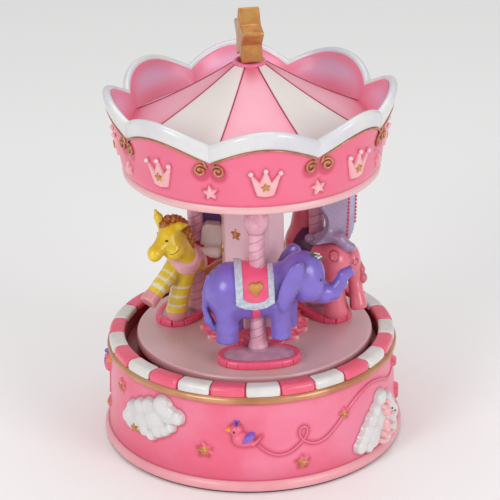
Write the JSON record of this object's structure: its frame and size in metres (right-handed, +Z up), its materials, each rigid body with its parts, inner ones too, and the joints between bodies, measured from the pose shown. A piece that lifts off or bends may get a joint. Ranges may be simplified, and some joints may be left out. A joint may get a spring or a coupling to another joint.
{
  "type": "carousel music box",
  "caption": "Wind-up music box with a round drum base, a turntable carrying figures on twisted poles round a pillar, and a scalloped tent canopy with a star.",
  "frame": {"origin": "centre of the round foot, on the surface it stands on", "axes": "+Z up along the spindle, -Y the front with the elephant, +X to the right"},
  "size_m": [0.12, 0.12, 0.1763],
  "materials": {
    "base_paint": "satin painted cast resin",
    "felt": "thin glued felt",
    "plate_board": "moulded plate",
    "screw_steel": "zinc plated",
    "die_cast": "die-cast, as cast",
    "spring_steel": "ground",
    "brass": "turned",
    "vane_nylon": "moulded nylon",
    "key_plate": "pressed, plated",
    "table_paint": "pearl paint on cast resin",
    "pillar_paint": "pearl paint on cast resin",
    "petal_paint": "painted cast resin",
    "plinth_paint": "painted cast resin",
    "elephant_purple": "satin painted cast resin",
    "pony_yellow": "satin painted cast resin",
    "pony_rose": "satin painted cast resin",
    "canopy_pink": "satin painted cast resin",
    "canopy_pearl": "pearl paint on cast resin",
    "gold_paint": "metallic gold paint on cast resin"
  },
  "bodies": {
    "base": {"base_shell": "base_paint", "felt_ring": "felt", "bottom_plate": "plate_board", "plate_screws": "screw_steel", "bedplate": "die_cast", "movement_screws": "screw_steel", "comb": "spring_steel", "comb_screws": "screw_steel", "governor_bracket": "die_cast", "click_spring": "spring_steel"},
    "carousel": {"drive_wheel": "brass", "barrel_cover": "brass", "mainspring": "spring_steel", "spindle": "brass", "turntable": "table_paint", "turntable_insert": "brass", "pillar": "pillar_paint", "petal_skirt": "petal_paint", "canopy_crown": "canopy_pink", "ceiling_disc": "canopy_pink", "tent_roof": "canopy_pearl", "apex_ring": "canopy_pink", "star_finial": "gold_paint", "elephant": "elephant_purple", "elephant_pole": "pillar_paint", "elephant_plinth": "plinth_paint", "rose_pony": "pony_rose", "rose_pony_pole": "pillar_paint", "rose_pony_plinth": "plinth_paint", "yellow_pony": "pony_yellow", "yellow_pony_pole": "pillar_paint", "yellow_pony_plinth": "plinth_paint"},
    "winder": {"winding_key": "key_plate", "winding_arbor": "spring_steel", "ratchet_wheel": "spring_steel"},
    "cylinder": {"note_cylinder": "brass", "cylinder_arbor": "spring_steel", "cylinder_pinion": "brass", "cylinder_gear": "brass"},
    "idler": {"idler_shaft": "spring_steel", "idler_pinion": "brass", "worm_wheel": "brass"},
    "governor": {"governor_worm": "spring_steel", "governor_vane": "vane_nylon"}
  },
  "joints": [
    {"name": "carousel_spin", "type": "hinge", "parent": "base", "child": "carousel", "pos_m": [0.0012, 0, 0.0432], "axis": [0, 0, 1], "continuous": true},
    {"name": "key_wind", "type": "hinge", "parent": "base", "child": "winder", "pos_m": [0.0012, 0, 0.008], "axis": [0, 0, -1], "continuous": true},
    {"name": "cylinder_spin", "type": "hinge", "parent": "base", "child": "cylinder", "pos_m": [0.0262, 0, 0.02501], "axis": [1, 0, 0], "continuous": true},
    {"name": "idler_spin", "type": "hinge", "parent": "base", "child": "idler", "pos_m": [0.0312, -0.01044, 0.02141], "axis": [1, 0, 0], "continuous": true},
    {"name": "governor_spin", "type": "hinge", "parent": "base", "child": "governor", "pos_m": [0.0262, -0.01564, 0.025], "axis": [0, 0, 1], "continuous": true}
  ],
  "couplings": [
    {"joint": "cylinder_spin", "follows": "carousel_spin", "ratio": 4},
    {"joint": "idler_spin", "follows": "carousel_spin", "ratio": -8},
    {"joint": "governor_spin", "follows": "carousel_spin", "ratio": -128}
  ]
}
